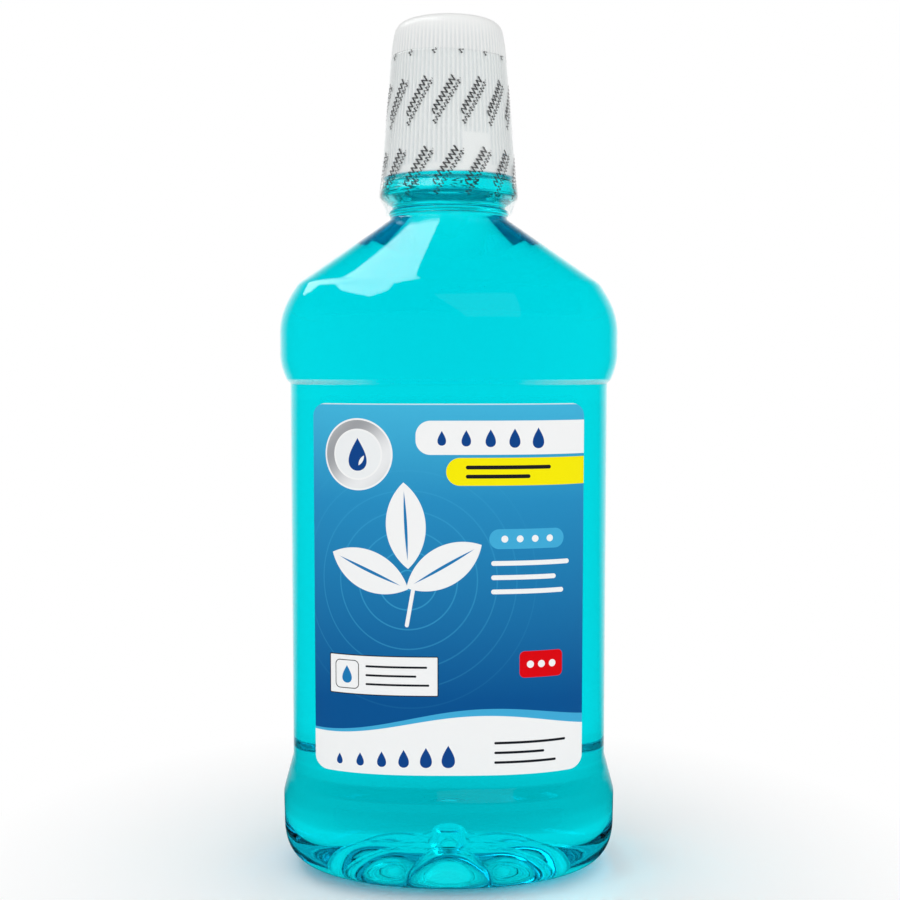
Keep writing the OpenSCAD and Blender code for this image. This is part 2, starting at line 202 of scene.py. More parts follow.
def base_stations():
    """The push-up: its boss from the middle outwards, then the dome with its petals."""
    rows = [round_station(DOME_H + BOSS_H * rise, BOSS_R * r) for r, rise in BOSS_SHARES]
    centre = np.array(round_station(0, BOSS_R))
    foot = np.array(inset(0, FOOT_ROUND + FOOT_LAND, FOOT_SQUARE_SHARE))
    for s in np.linspace(DOME_FROM, DOME_TO, DOME_ROWS):
        row = centre * (1 - s) + foot * s
        row[0] = DOME_H * (1 - s**DOME_CURVE)
        row[4] = PETAL_H * math.sin(math.pi * s**PETAL_SPREAD) ** 2
        rows.append(row)
    return np.array(rows)


def skin_stations():
    """From the middle of the base out to the standing ring and up to the neck ring."""
    corners = [
        (inset(0, FOOT_ROUND + FOOT_LAND, FOOT_SQUARE_SHARE), 0),
        (inset(0, 0, FOOT_SQUARE_SHARE), FOOT_ROUND),
        (inset(FOOT_H, 0, BODY_SQUARE_SHARE), 0.9),
        (foot_ledge(FOOT_LEDGE_DROP + FOOT_LEDGE_H, FOOT_LEDGE), 0.5),
        (foot_ledge(FOOT_LEDGE_DROP, 0), 0.4),
        (inset(PANEL_Z, PANEL_IN, BODY_SQUARE_SHARE), 0.4),
        (inset(LIP_Z, PANEL_IN, BODY_SQUARE_SHARE), 0.15),
        (inset(LIP_Z + LEDGE, PANEL_IN - LEDGE, BODY_SQUARE_SHARE), 0.25),
        (inset(BULGE_Z, 0, BODY_SQUARE_SHARE), 2.6),
        (inset(ROUND_Z, 0, BODY_SQUARE_SHARE), ROUND_H * 0.67),
        ([CREASE_Z, HALF_W - CREASE_IN, HALF_D - CREASE_IN_FRONT, BODY_SQUARE_SHARE, 0], 0.9),
        (round_station(NECK_Z, NECK_R), 0.6),
        (round_station(SKIN_TOP_Z, NECK_R), 0),
    ]
    return np.vstack([base_stations(), fill_in(soft_path(corners, 14), BODY_STEP)])


def turn_angles(count):
    return np.arange(count) * 2 * math.pi / count


def bow(c, square_share):
    return np.sign(c) * np.abs(c) ** (1 - square_share)


def moved_in(rows, depth):
    """The same rows moved inwards along the skin's own normals."""
    up = np.gradient(rows, axis=0)
    round_ = np.roll(rows, -1, axis=1) - np.roll(rows, 1, axis=1)
    normal = np.cross(round_, up)
    return rows - depth * normal / np.linalg.norm(normal, axis=2, keepdims=True)


def skin_rows(depth=0):
    """The body's skin, or one that lies depth inside it."""
    t = turn_angles(AROUND)[None, :]
    stations = skin_stations()
    z, hw, hd, square_share, petal = (stations[:, k : k + 1] for k in range(5))
    waves = petal * (np.abs(np.cos(PETALS / 2 * (t + math.pi / 2))) ** PETAL_BLUNT - 0.5)
    x, y = hw * bow(np.cos(t), square_share), hd * bow(np.sin(t), square_share)
    rows = np.stack([x, y, z + waves], axis=2)
    return moved_in(rows, depth) if depth else rows


def turned_rows(profile, count=AROUND):
    """Rows of a turned shape from its profile of radius and height."""
    t = turn_angles(count)[None, :]
    r, z = profile[:, 0:1], profile[:, 1:2]
    return np.stack([r * np.cos(t), r * np.sin(t), z + 0 * t], axis=2)


def with_radius(rows, change):
    """Rows of a turned shape with its radius changed: change(angle, z, r) gives the new one."""
    angle = np.arctan2(rows[..., Y], rows[..., X])
    r = np.hypot(rows[..., X], rows[..., Y])
    new = change(angle, rows[..., Z], r)
    return np.stack([new * np.cos(angle), new * np.sin(angle), rows[..., Z]], axis=2)


def thread_rise(angle, z, turn):
    """How far the thread stands up at an angle and height, from 0 to 1."""
    rise = np.zeros_like(z)
    for start in range(STARTS):
        phase = np.mod(angle - math.radians(turn) - 2 * math.pi * start / STARTS, 2 * math.pi)
        for extra in (0, 1):
            along = phase + 2 * math.pi * extra
            off = np.abs(z - THREAD_LOW_Z - LEAD * along / (2 * math.pi))
            flank = np.clip((THREAD_ROOT / 2 - off) / ((THREAD_ROOT - THREAD_CREST) / 2), 0, 1)
            to_end = np.minimum(along, 2 * math.pi * TURNS - along)
            rise = np.maximum(rise, flank * np.clip(to_end / math.radians(RUN_OUT), 0, 1))
    return rise


def smooth(value):
    value = np.clip(value, 0, 1)
    return value * value * (3 - 2 * value)


def near_angle(angle, degrees):
    """Distance in degrees from an angle and the one opposite it."""
    return np.abs(np.mod(np.degrees(angle) - degrees + 90, 180) - 90)


# Mesh building
def mesh_object(name, points, faces):
    mesh = bpy.data.meshes.new(name)
    mesh.from_pydata((np.asarray(points) * MM).tolist(), [], faces)
    mesh.shade_smooth()
    mesh.validate()
    obj = bpy.data.objects.new(name, mesh)
    bpy.context.scene.collection.objects.link(obj)
    return obj


def strips(around, pairs):
    """Quads between pairs of rows of points."""
    faces = []
    for low, high in pairs:
        a, b = low * around, high * around
        for k in range(around):
            on = (k + 1) % around
            faces.append((a + k, a + on, b + on, b + k))
    return faces


def closed_shape(name, rows):
    """A closed mesh through rows of points, shut at both ends by a fan."""
    count, around = rows.shape[:2]
    points = list(rows.reshape(-1, 3)) + [rows[0].mean(axis=0), rows[-1].mean(axis=0)]
    first, last = len(points) - 2, len(points) - 1
    end = (count - 1) * around
    faces = strips(around, [(i, i + 1) for i in range(count - 1)])
    faces += [((k + 1) % around, k, first) for k in range(around)]
    faces += [(end + k, end + (k + 1) % around, last) for k in range(around)]
    return mesh_object(name, points, faces)


def closed_ring(name, rows):
    """A closed mesh through rows of points that come round to the first row again."""
    count, around = rows.shape[:2]
    faces = strips(around, [(i, (i + 1) % count) for i in range(count)])
    return mesh_object(name, rows.reshape(-1, 3), faces)


def dress(obj, body, node_name, material):
    """Rides a piece on its body, hides the CAD node it stands for and sets its finish."""
    obj.data.materials.append(material)
    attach(obj, body)
    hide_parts(node_name)


# Neck profiles, as radius and height
def neck_outside():
    """From the ring over the bead and up the finish to its bore."""
    corners = [
        ([RING_R - 0.25, RING_Z], 0),
        ([RING_R, RING_Z + 0.3], 0.25),
        ([RING_R, WAIST_Z], RING_H * 0.3),
        ([WAIST_R, WAIST_Z + WAIST_H * 0.3], 0.2),
        ([WAIST_R, BEAD_Z], WAIST_H * 0.4),
        ([BEAD_R, BEAD_LOW_Z], BEAD_SOFT),
        ([BEAD_R, BEAD_HIGH_Z], BEAD_SOFT),
        ([BEAD_TOP_R, BEAD_TOP_Z], 0.44),
        ([(BEAD_TOP_R + FINISH_R) / 2, BEAD_TOP_Z + RIM_GAP * 0.5], 0.3),
        ([FINISH_R, FINISH_Z], 0.5),
        ([FINISH_R, FINISH_TOP_Z], 0.3),
        ([BORE_R, FINISH_TOP_Z], 0),
    ]
    return fill_in(soft_path(corners, 8), NECK_STEP)


def neck_inside(depth):
    """From the ring up to the top of the rinse, depth inside the outer face."""
    corners = [
        ([WAIST_R - depth, RING_Z], 0),
        ([WAIST_R - depth, BEAD_Z + depth * 0.4], WAIST_H * 0.4),
        ([BEAD_R - depth, BEAD_LOW_Z + depth * 0.5], BEAD_SOFT),
        ([BEAD_R - depth, BEAD_HIGH_Z - depth * 0.2], BEAD_SOFT),
        ([BEAD_TOP_R - depth, BEAD_TOP_Z - depth], 0.44),
        ([BORE_R + WALL - depth, BEAD_TOP_Z - depth * 0.6], 0.4),
        ([BORE_R + WALL - depth, FILL_Z], 0),
    ]
    return fill_in(soft_path(corners, 8), INNER_STEP)


def finish_relief(angle, z, r):
    """The pouring finish with its thread and its two safety lugs."""
    on_finish = (z > FINISH_Z) & (r > (FINISH_R + BORE_R) / 2)
    r = r + np.where(on_finish, THREAD_H * thread_rise(angle, z, 0), 0)
    lug_side = smooth((LUG_DEG / 2 - near_angle(angle, LUG_TURN)) / SIDE_FADE + 0.5)
    lug_top = smooth((RIM_Z + LUG_H - z) / 0.3 + 0.5)
    carries = (z > BEAD_TOP_Z + RIM_GAP * 0.2) & (r < LUG_R) & (r > BORE_R + 0.7)
    return np.where(carries, r + (LUG_R - r) * lug_side * lug_top, r)


def make_bottle(material):
    """One wall all through: up the outside, round the finish and down the inside."""
    neck = with_radius(turned_rows(neck_outside()), finish_relief)
    bore_edge = [[BORE_R, FINISH_TOP_Z - 0.3]]
    inside = turned_rows(np.vstack([neck_inside(WALL), bore_edge])[::-1])
    rows = np.vstack([skin_rows(), neck, inside, skin_rows(WALL)[::-1]])
    obj = closed_shape("clear_bottle", rows)
    dress(obj, "bottle", "bottle", material)


def make_rinse(material):
    """The rinse wets the wall: its skin lies a hair inside the wall's plastic, and its top sags."""
    wet = WALL - WETTING
    surface = [
        [BORE_R - 0.4, FILL_Z - 0.55],
        [BORE_R - 1.4, FILL_Z - 0.85],
        [BORE_R * 0.5, FILL_Z - 0.95],
    ]
    neck = turned_rows(np.vstack([neck_inside(wet), surface]))
    obj = closed_shape("teal_rinse", np.vstack([skin_rows(wet), neck]))
    dress(obj, "bottle", "mouthwash", material)


# Labels
def panel_point(x, grow, side):
    """A point of the panel's front or back curve, grow outside the panel."""
    hw, hd = HALF_W - PANEL_IN + grow, HALF_D - PANEL_IN + grow
    power = 2 / (1 - BODY_SQUARE_SHARE)
    return side * x, -side * hd * (1 - np.abs(x / hw) ** power) ** (1 / power)


def arc_table(side):
    """Places straight across the panel and their distances along its curve."""
    x = np.linspace(-LABEL_W / 2 - 1, LABEL_W / 2 + 1, 2001)
    px, py = panel_point(x, LABEL_GAP, side)
    along = np.concatenate([[0], np.cumsum(np.hypot(np.diff(px), np.diff(py)))])
    return x, along - along[len(along) // 2]


def label_grid():
    """Places across and heights of the points of a sheet with round corners."""
    corner = LABEL_ROUND * (1 - np.cos(np.linspace(0, math.pi / 2, CORNER_ROWS)))
    middle = np.linspace(LABEL_ROUND, LABEL_H - LABEL_ROUND, MIDDLE_ROWS)[1:-1]
    heights = np.concatenate([corner, middle, LABEL_H - corner[::-1]])
    share = np.sin(np.linspace(-1, 1, LABEL_COLUMNS) * math.pi / 2 * 0.999)
    into = np.clip(LABEL_ROUND - np.minimum(heights, LABEL_H - heights), 0, LABEL_ROUND)
    half = LABEL_W / 2 - LABEL_ROUND + np.sqrt(np.maximum(LABEL_ROUND**2 - into**2, 0))
    x = half[:, None] * share[None, :]
    return x, LABEL_LOW_Z + np.repeat(heights[:, None], x.shape[1], axis=1)


def sheet_faces(rows, cols):
    """Both sides of a sheet and its rim; the inner side's points follow those of the outer one."""
    under = rows * cols

    def at(i, k):
        return i * cols + k

    faces = [
        (at(i, k), at(i, k + 1), at(i + 1, k + 1), at(i + 1, k))
        for i in range(rows - 1)
        for k in range(cols - 1)
    ]
    faces += [tuple(under + p for p in reversed(face)) for face in faces]
    rim = [at(0, k) for k in range(cols)] + [at(i, cols - 1) for i in range(1, rows)]
    rim += [at(rows - 1, k) for k in range(cols - 2, -1, -1)]
    rim += [at(i, 0) for i in range(rows - 2, 0, -1)]
    return faces + [(b, a, under + a, under + b) for a, b in zip(rim, rim[1:] + rim[:1])]


def map_print(obj, x, z, side):
    """Gives each point its place on the print in millimetres. The inner side's is moved down by
    PRINT_SHIFT, off the print."""
    u, v = np.interp(x, *arc_table(side)).ravel(), (z - LABEL_LOW_Z).ravel()
    print_map = obj.data.uv_layers.new(name=PRINT_MAP)
    loops = np.empty(len(obj.data.loops), dtype=int)
    obj.data.loops.foreach_get("vertex_index", loops)
    inner = loops >= x.size
    loops %= x.size
    places = np.stack([u[loops], v[loops] - PRINT_SHIFT * inner], axis=1)
    print_map.data.foreach_set("uv", places.ravel())


def make_label(name, node_name, side, material):
    """A thin printed sheet that hugs the panel."""
    x, z = label_grid()
    outer = np.stack([*panel_point(x, LABEL_GAP + LABEL_T, side), z], axis=2)
    inner = np.stack([*panel_point(x, LABEL_GAP, side), z], axis=2)
    points = np.vstack([outer.reshape(-1, 3), inner.reshape(-1, 3)])
    obj = mesh_object(name, points, sheet_faces(*x.shape))
    map_print(obj, x, z, side)
    dress(obj, "bottle", node_name, material)


# Cap
def cap_side(z):
    return CAP_R + (CAP_TOP_R - CAP_R) * (z - RIM_Z) / (CAP_TOP_Z - RIM_Z)


def cap_profile():
    """Once round the cap's section, from the middle of its top, outside first."""
    shelf_top = SHELF_Z + CAP_WALL
    corners = [
        ([MIDDLE_R, CAP_TOP_Z], 0),
        ([CAP_TOP_R, CAP_TOP_Z], CAP_ROUND),
        ([CAP_R, RIM_Z], 0.35),
        ([CAP_R - CAP_WALL, RIM_Z], 0.2),
        ([cap_side(SHELF_Z) - CAP_WALL, SHELF_Z], 0.05),
        ([SLEEVE_R + SLEEVE_WALL, SHELF_Z], 0.05),
        ([SLEEVE_R + SLEEVE_WALL, SLEEVE_Z], 0.15),
        ([SLEEVE_R, SLEEVE_Z], 0.15),
        ([SLEEVE_R, SHELF_Z], 0.1),
        ([SHELF_R, SHELF_Z], 0.2),
        ([SHELF_R, shelf_top], 0.2),
        ([cap_side(shelf_top) - CAP_WALL, shelf_top], 0.3),
        ([CAP_TOP_R - CAP_WALL, CAP_TOP_Z - CAP_WALL], CAP_ROUND - CAP_WALL),
        ([MIDDLE_R, CAP_TOP_Z - CAP_WALL], 0),
    ]
    return fill_in(soft_path(corners, 8), CAP_STEP)


def cap_relief(angle, z, r):
    """Grip ribs outside, left off at the squeeze pads, the rim and the top; the thread inside."""
    outside = (np.abs(r - cap_side(z)) < 0.3) & (z > RIM_Z + 0.5)
    wave = 0.5 + 0.5 * np.cos(RIBS * angle)
    off_pad = smooth((near_angle(angle, PAD_TURN) - PAD_HALF_DEG) / SIDE_FADE)
    above_pad = smooth((z - RIM_Z - PAD_H) / 0.6)
    ribbed = np.maximum(off_pad, above_pad) * smooth((z - RIM_Z - RIM_BAND) / 0.9)
    fade = smooth((CAP_TOP_Z - CAP_ROUND * 0.7 - z) / RIB_FADE)
    rib = RIB_H * smooth(wave * 1.25 - 0.1) * ribbed * fade
    on_sleeve = (np.abs(r - SLEEVE_R) < 0.05) & (z > SLEEVE_Z + 0.3)
    thread = THREAD_H * thread_rise(angle, z, CAP_THREAD_TURN)
    return r + np.where(outside, rib, 0) - np.where(on_sleeve, thread, 0)


def make_cap(material):
    rows = turned_rows(cap_profile()[::-1], CAP_AROUND)
    obj = closed_shape("dosing_cap", with_radius(rows, cap_relief))
    dress(obj, "cap", "cap", material)


def make_seal(material):
    low, high = cad("seal_ring", LOW, Z), cad("seal_ring", HIGH, Z)
    outer = cad("seal_ring", HIGH, X)
    seam = ([outer, (low + high) / 2], 0)
    edges = ([outer, high], [SEAL_R, high], [SEAL_R, low], [outer, low])
    profile = soft_path([seam, *((edge, SEAL_SOFT) for edge in edges), seam], 4)[:-1]
    obj = closed_ring("foam_seal", turned_rows(profile))
    dress(obj, "seal_ring", "seal_ring", material)


# Neckband
def film_profile():
    """The film's outer face, from its lower edge tucked in below the bead to its upper edge."""
    hug = FILM_GAP + FILM_T
    corners = [
        ([WAIST_R + 1.5, FILM_LOW_Z + 0.9], 0),
        ([WAIST_R + 1.9, BEAD_Z - 0.3], 0.8),
        ([BEAD_R + hug, BEAD_LOW_Z], 1.2),
        ([BEAD_R + hug, BEAD_HIGH_Z], 1.2),
        ([cap_side(RIM_Z) + RIB_H + hug, RIM_Z + 0.2], 0.8),
        ([cap_side(FILM_HIGH_Z) + RIB_H + hug, FILM_HIGH_Z - 0.4], 0),
    ]
    return fill_in(soft_path(corners, 8), FILM_STEP)


def film_relief(angle, z, r):
    """Shallow swells of the shrunk film, and ripples where it tucks in below the bead."""
    low = smooth((BEAD_Z + BEAD_H * 0.2 - z) / 2.5)
    ripples = sum(share * np.sin(count * angle + shift) for share, count, shift in RIPPLES)
    swells = sum(0.5 * np.sin(count * angle + z * lean + shift) for lean, count, shift in SWELLS)
    return r + SWELL_H * swells + low * RIPPLE_H * ripples


def make_neckband(material):
    rows = with_radius(turned_rows(film_profile(), FILM_AROUND), film_relief)
    angle = np.arctan2(rows[..., Y], rows[..., X])
    edge = smooth((rows[..., Z] - FILM_HIGH_Z + EDGE_REACH) / EDGE_REACH)
    foot = smooth((FILM_LOW_Z + FOOT_REACH - rows[..., Z]) / FOOT_REACH)
    waves = edge * EDGE_WAVE * np.sin(2 * angle + 0.4) + foot * EDGE_WAVE * np.sin(5 * angle + 1)
    rows[..., Z] += waves
    inner = moved_in(rows, FILM_T)
    obj = closed_ring("clear_neckband", np.vstack([rows, inner[::-1]]))
    dress(obj, "neckband", "neckband", material)


# Shader arithmetic
class Num:
    """A number that shader nodes work out, written with ordinary signs."""

    def __init__(self, tree, socket):
        self.tree, self.socket = tree, socket

    def do(self, operation, *others, clamp=False):
        made = self.tree.nodes.new("ShaderNodeMath")
        made.operation, made.use_clamp = operation, clamp
        for socket, value in zip(made.inputs, (self, *others)):
            if isinstance(value, Num):
                self.tree.links.new(value.socket, socket)
            else:
                socket.default_value = value
        return Num(self.tree, made.outputs[0])

    def __add__(self, other):
        return self.do("ADD", other)

    def __sub__(self, other):
        return self.do("SUBTRACT", other)

    def __mul__(self, other):
        return self.do("MULTIPLY", other)

    def __truediv__(self, other):
        return self.do("DIVIDE", other)

    def size(self):
        return self.do("ABSOLUTE")

    def least(self, other):
        return self.do("MINIMUM", other)

    def most(self, other):
        return self.do("MAXIMUM", other)

    def clamped(self):
        return self.do("ADD", 0.0, clamp=True)

    def rest(self):
        """What it leaves of 1."""
        return self * -1.0 + 1.0


def new_material(name):
    material = bpy.data.materials.new(name)
    material.use_nodes = True
    tree = material.node_tree
    tree.nodes.clear()
    return material, tree, tree.nodes.new("ShaderNodeOutputMaterial")


def node(tree, kind, **values):
    made = tree.nodes.new(kind)
    for name, value in values.items():
        if hasattr(made, name):
            setattr(made, name, value)
        else:
            made.inputs[name.replace("_", " ")].default_value = value
    return made


def principled(tree, output, **values):
    shader = node(tree, "ShaderNodeBsdfPrincipled", **values)
    tree.links.new(shader.outputs[0], output.inputs["Surface"])
    return shader


def coordinates(tree, kind="Object"):
    return tree.nodes.new("ShaderNodeTexCoord").outputs[kind]


def axes(tree, place):
    """A place's three coordinates as numbers."""
    split = tree.nodes.new("ShaderNodeSeparateXYZ")
    tree.links.new(place, split.inputs[0])
    return [Num(tree, split.outputs[k]) for k in (X, Y, Z)]


def mix_shaders(tree, share, under, over):
    """One shader over another by a share from 0 to 1."""
    mix = tree.nodes.new("ShaderNodeMixShader")
    tree.links.new(share.socket, mix.inputs[0])
    tree.links.new(under, mix.inputs[1])
    tree.links.new(over, mix.inputs[2])
    return mix.outputs[0]


def bump(tree, shader, height, height_mm):
    """A bump on a shader from a socket that gives heights from 0 to 1."""
    made = node(tree, "ShaderNodeBump", Strength=1.0, Distance=height_mm * MM)
    tree.links.new(height, made.inputs["Height"])
    tree.links.new(made.outputs[0], shader.inputs["Normal"])


def bump_from_noise(tree, shader, scale, height_mm, detail=3.0, stretch=None):
    """A fine bump on a shader, in object space; returns the noise that makes it."""
    place = coordinates(tree)
    if stretch:
        mapping = tree.nodes.new("ShaderNodeMapping")
        mapping.inputs["Scale"].default_value = stretch
        tree.links.new(place, mapping.inputs[0])
        place = mapping.outputs[0]
    noise = node(tree, "ShaderNodeTexNoise", Scale=scale, Detail=detail)
    tree.links.new(place, noise.inputs["Vector"])
    bump(tree, shader, noise.outputs["Fac"], height_mm)
    return noise.outputs["Fac"]


def vary(tree, source, low, high, socket):
    """A value that follows a source between low and high."""
    scale = node(tree, "ShaderNodeMapRange", To_Min=low, To_Max=high)
    tree.links.new(source, scale.inputs["Value"])
    tree.links.new(scale.outputs[0], socket)


def paint(tree, under, colour, mask):
    """A colour laid over another one where the mask is 1."""
    mix = tree.nodes.new("ShaderNodeMix")
    mix.data_type = "RGBA"
    tree.links.new(mask.socket, mix.inputs["Factor"])
    for socket, value in ((mix.inputs["A"], under), (mix.inputs["B"], colour)):
        if isinstance(value, tuple):
            socket.default_value = (*value, 1)
        else:
            tree.links.new(value, socket)
    return mix.outputs["Result"]


# Printing
PRINT_EDGE = 0.06
BLUES = (
    (0.20, (0.001, 0.09, 0.30)),
    (0.45, (0.004, 0.145, 0.385)),
    (0.74, (0.02, 0.28, 0.56)),
    (1.00, (0.058, 0.485, 0.75)),
)
WHITE, YELLOW, RED = (0.94, 0.945, 0.945), (0.98, 0.87, 0.0), (0.76, 0.0, 0.004)
INK, GREY_INK, BLUE_INK = (0.012, 0.014, 0.02), (0.12, 0.13, 0.15), (0.012, 0.2, 0.48)
PALE, DEEP, BAND = (0.055, 0.43, 0.72), (0.004, 0.06, 0.27), (0.004, 0.11, 0.36)
STEEL, BRIGHT_STEEL, DISC_WHITE = (0.36, 0.37, 0.39), (0.86, 0.87, 0.88), (0.88, 0.9, 0.91)
LABEL_ROUGHNESS, LABEL_GRAIN, LABEL_GRAIN_H = 0.38, 900.0, 0.006


def inked(distance):
    """1 inside a printed shape and 0 outside it, from the distance to its edge."""
    return (distance * (-1 / PRINT_EDGE) + 0.5).clamped()


def nearest(distances):
    """The distance to the nearest of several shapes."""
    out = distances[0]
    for distance in distances[1:]:
        out = out.least(distance)
    return out


class Plane:
    """Two coordinates in millimetres, and distances from the edges of shapes drawn on them."""

    def __init__(self, u, v):
        self.u, self.v = u, v

    def disc(self, at, r):
        du, dv = self.u - at[0], self.v - at[1]
        return (du * du + dv * dv).do("SQRT") - r

    def bar(self, at, w, h, r):
        du = ((self.u - at[0]).size() - (w / 2 - r)).most(0.0)
        dv = ((self.v - at[1]).size() - (h / 2 - r)).most(0.0)
        return (du * du + dv * dv).do("SQRT") - r

    def turned(self, at, degrees):
        """The plane measured from at and turned round it."""
        c, s = math.cos(math.radians(degrees)), math.sin(math.radians(degrees))
        du, dv = self.u - at[0], self.v - at[1]
        return Plane(du * c + dv * s, dv * c - du * s)

    def leaf(self, at, length, width, degrees):
        """A pointed oval, the overlap of two discs."""
        own = self.turned(at, degrees)
        r = ((length / 2) ** 2 + (width / 2) ** 2) / width
        return own.disc((0, width / 2 - r), r).most(own.disc((0, r - width / 2), r))

    def drop(self, at, size):
        """A water drop, its point up, size high."""
        rise = ((self.v - at[1]) / size + 0.5).clamped()
        half = rise.do("POWER", 0.5) * rise.rest().do("POWER", 1.15) * (size * 0.8)
        return ((self.u - at[0]).size() - half).most((self.v - at[1]).size() - size / 2)

    def rules(self, start, lengths, pitch, thick):
        """Plain rounded rules under each other, the first one from start."""
        return nearest([
            self.bar((start[0] + length / 2, start[1] - i * pitch), length, thick, thick / 2)
            for i, length in enumerate(lengths)
        ])

    def beads(self, start, pitch, radii):
        """A row of discs, the first one at start."""
        return nearest([
            self.disc((start[0] + i * pitch, start[1]), r) for i, r in enumerate(radii)
        ])


class Print(Plane):
    """Inks laid over each other on a white sheet, measured from the middle of its foot."""

    def __init__(self, tree):
        place = node(tree, "ShaderNodeUVMap", uv_map=PRINT_MAP)
        super().__init__(*axes(tree, place.outputs[0])[:2])
        self.tree, self.colour = tree, WHITE

    def ink(self, colour, mask):
        self.colour = paint(self.tree, self.colour, colour, mask)

    def shape(self, colour, distance):
        self.ink(colour, inked(distance))


def on_label(across, up):
    """A place on the print from shares of the label's width and height."""
    return LABEL_W * across, LABEL_H * up


def clear_sheet(tree, tint, roughness, ior):
    """Clear film that mirrors on its outer side: its shader, the mirroring part of it, and 1 on
    the outer side and 0 on the inner one."""
    clear = node(tree, "ShaderNodeBsdfTransparent", Color=tint)
    gloss = node(tree, "ShaderNodeBsdfGlossy", Color=(1, 1, 1, 1), Roughness=roughness)
    fresnel = Num(tree, node(tree, "ShaderNodeFresnel", IOR=ior).outputs[0])
    outside = Num(tree, tree.nodes.new("ShaderNodeNewGeometry").outputs["Backfacing"]).rest()
    film = mix_shaders(tree, fresnel * outside, clear.outputs[0], gloss.outputs[0])
    return film, gloss, outside


# Back label: its white field, then shares of height for band, patch and blocks of rules, each
# block with shares of width for its rules
BACK_FIELD_W, BACK_MARGIN, BACK_PITCH = 38.0, 3, 2.6
BACK_BAND_AT, BACK_PATCH_AT = 0.87, 0.17
BACK_BLOCKS = (
    (0.78, (1, 0.93, 0.97, 0.6)),
    (0.60, (1, 0.9, 0.55)),
    (0.45, (0.96, 1, 0.88, 0.4)),
)


def back_label_material():
    """Clear film with a white field in its middle, printed outside with a band with discs, blocks
    of rules and a patch with a drop."""
    material, tree, output = new_material("printed_back_label")
    sheet = Print(tree)
    on_film = Plane(sheet.u, sheet.v + sheet.v.do("LESS_THAN", -LABEL_H) * PRINT_SHIFT)
    field = inked(on_film.bar(on_label(0, 0.5), BACK_FIELD_W, LABEL_H - 2 * BACK_MARGIN, 2.5))
    sheet.shape(BAND, sheet.bar(on_label(0, BACK_BAND_AT), BACK_FIELD_W, 8, 0.1))
    sheet.shape(WHITE, sheet.beads((-BACK_FIELD_W * 0.36, LABEL_H * BACK_BAND_AT), 4.6, (1.2,) * 3))
    left, wide = -BACK_FIELD_W / 2 + BACK_MARGIN, BACK_FIELD_W - 2 * BACK_MARGIN
    for top, shares in BACK_BLOCKS:
        sheet.shape(INK, sheet.bar((0, LABEL_H * top + BACK_PITCH), wide, 0.3, 0.1))
        lengths = [wide * share for share in shares]
        sheet.shape(GREY_INK, sheet.rules((left, LABEL_H * top), lengths, BACK_PITCH, 0.55))
    sheet.shape(PALE, sheet.bar(on_label(0, BACK_PATCH_AT), wide, 12, 1.5))
    sheet.shape(WHITE, sheet.drop(on_label(0, BACK_PATCH_AT), 8))
    shader = node(tree, "ShaderNodeBsdfPrincipled", Roughness=LABEL_ROUGHNESS)
    tree.links.new(sheet.colour, shader.inputs["Base Color"])
    bump_from_noise(tree, shader, LABEL_GRAIN, LABEL_GRAIN_H)
    film, _, _ = clear_sheet(tree, (0.985, 0.99, 0.99, 1), 0.15, 1.3)
    printed = mix_shaders(tree, field, film, shader.outputs[0])
    tree.links.new(printed, output.inputs["Surface"])
    return material


def blue_field(sheet):
    """The printed ground: blue that shades downwards."""
    ramp = sheet.tree.nodes.new("ShaderNodeValToRGB")
    sheet.tree.links.new((sheet.v / LABEL_H).socket, ramp.inputs[0])
    stops = ramp.color_ramp.elements
    for stop, (at, colour) in zip((stops[0], stops[1], stops.new(0.4), stops.new(0.7)), BLUES):
        stop.position, stop.color = at, (*colour, 1)
    return ramp.outputs[0]


# Sprig: its rings, the leaves' places and turns, and the sizes of a leaf and its vein
RING_PITCH, RING_HALF, RING_REACH, RING_SHARE = 4.6, 0.16, 34.0, 0.6
LEAVES = ((-9.0, 2.0, 156), (8.4, 3.2, 30), (-0.4, 12.6, 93))
LEAF_SIZE, VEIN_SIZE = (20.0, 9.2), (16.0, 0.7)


def paint_sprig(sheet, at):
    """Three leaves on a stem, over rings that spread from them."""
    out = sheet.disc(at, 0.0)
    rings = ((out / RING_PITCH).do("FRACT") - 0.5).size() * RING_PITCH - RING_HALF
    fade = (out * (-1 / RING_REACH) + 1.0).clamped()
    sheet.ink(PALE, inked(rings) * fade * RING_SHARE)
    whole, veins = (
        nearest([sheet.leaf((at[0] + du, at[1] + dv), *size, turn) for du, dv, turn in LEAVES])
        for size in (LEAF_SIZE, VEIN_SIZE)
    )
    stem = sheet.turned((at[0] + 0.6, at[1] - 6.0), 80).bar((0, 0), 10, 0.9, 0.45)
    sheet.shape(WHITE, whole.least(stem))
    sheet.shape(BLUE_INK, veins)


def paint_badge(sheet, at):
    """A steel ring round a white disc with a blue drop."""
    out = sheet.disc(at, 0.0)
    sheen = (((sheet.u - at[0] - sheet.v + at[1]) * 0.22).do("SINE") * 0.5 + 0.5).clamped()
    steel = paint(sheet.tree, STEEL, BRIGHT_STEEL, sheen)
    for r, shade in ((8.3, WHITE), (7.9, steel), (5.9, WHITE), (5.5, DISC_WHITE)):
        sheet.shape(shade, out - r)
    sheet.shape(DEEP, sheet.drop(at, 7.6))
    sheet.shape(WHITE, sheet.leaf((at[0] + 0.9, at[1] - 1.4), 2.6, 0.8, 60))


